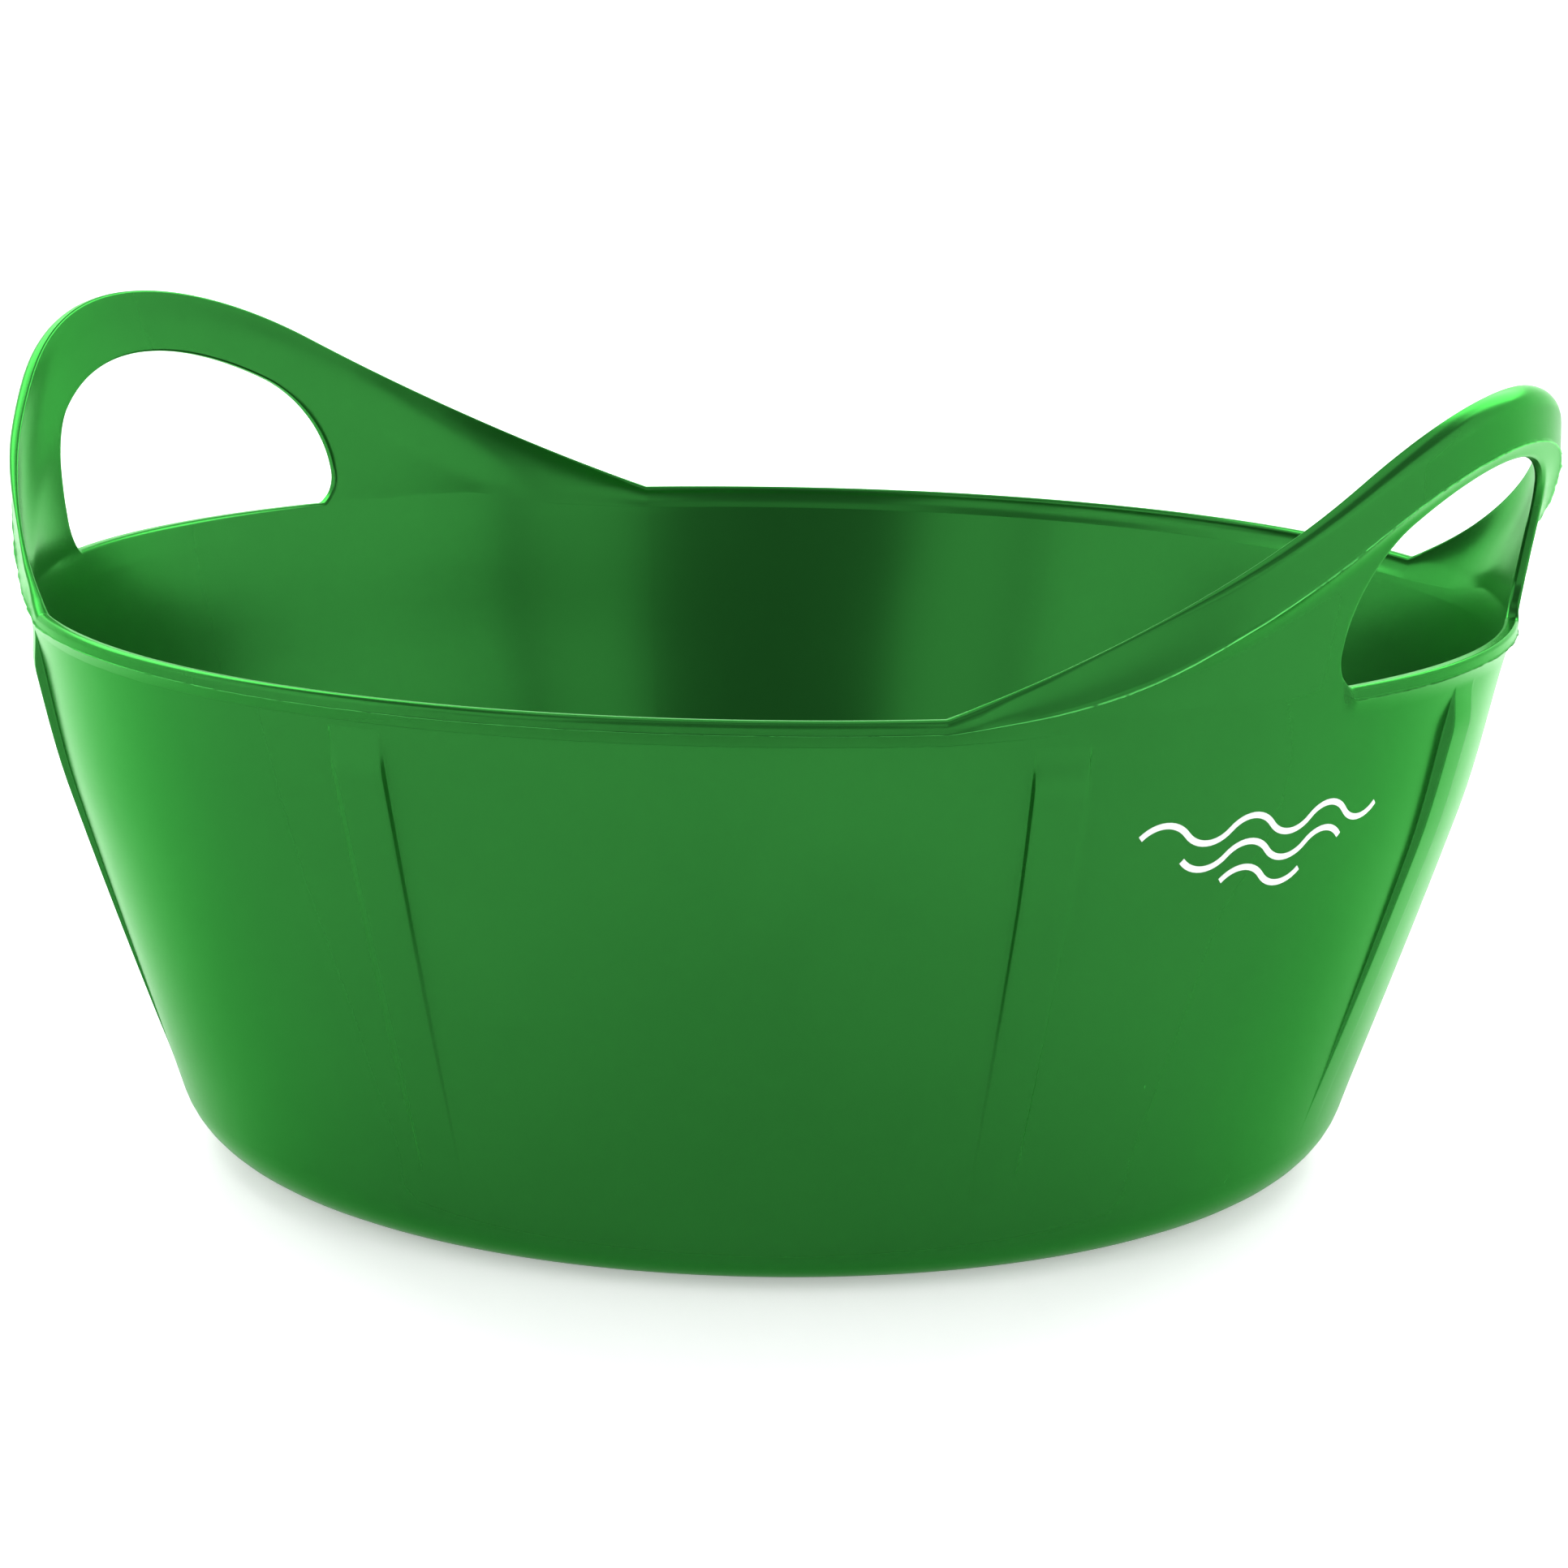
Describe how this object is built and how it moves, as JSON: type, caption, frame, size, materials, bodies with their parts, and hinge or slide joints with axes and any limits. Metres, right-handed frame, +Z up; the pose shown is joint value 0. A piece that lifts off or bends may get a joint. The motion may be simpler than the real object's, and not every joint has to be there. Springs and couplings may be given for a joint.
{
  "type": "utility tub",
  "caption": "Shallow round flexible utility tub with a flared ribbed wall and two moulded strap handles with hand holes.",
  "frame": {"origin": "centre of the floor's underside, on the surface that the tub stands on", "axes": "+Z up, out of the open top; the two handles stand on the X axis, one at +X and one at -X; +Y completes a right-handed frame"},
  "size_m": [0.4234, 0.4012, 0.2145],
  "materials": {
    "green_plastic": "satin-gloss flexible polyethylene, moulded smooth",
    "ink": "thin silver-white print"
  },
  "bodies": {
    "tub": {"tub_floor": "green_plastic", "side_wall": "green_plastic", "rim_lip": "green_plastic", "handle_left_legs": "green_plastic", "handle_right_legs": "green_plastic", "printed_mark": "ink"},
    "handle_left": {"handle_left_grip": "green_plastic"},
    "handle_right": {"handle_right_grip": "green_plastic"}
  },
  "joints": [
    {"name": "handle_left_flex", "type": "hinge", "parent": "tub", "child": "handle_left", "pos_m": [-0.1755, 0, 0.178], "axis": [0, 1, 0], "range_deg": [0, 30], "stiffness_Nm_per_rad": 1.2},
    {"name": "handle_right_flex", "type": "hinge", "parent": "tub", "child": "handle_right", "pos_m": [0.1755, 0, 0.178], "axis": [0, -1, 0], "range_deg": [0, 30], "stiffness_Nm_per_rad": 1.2}
  ]
}
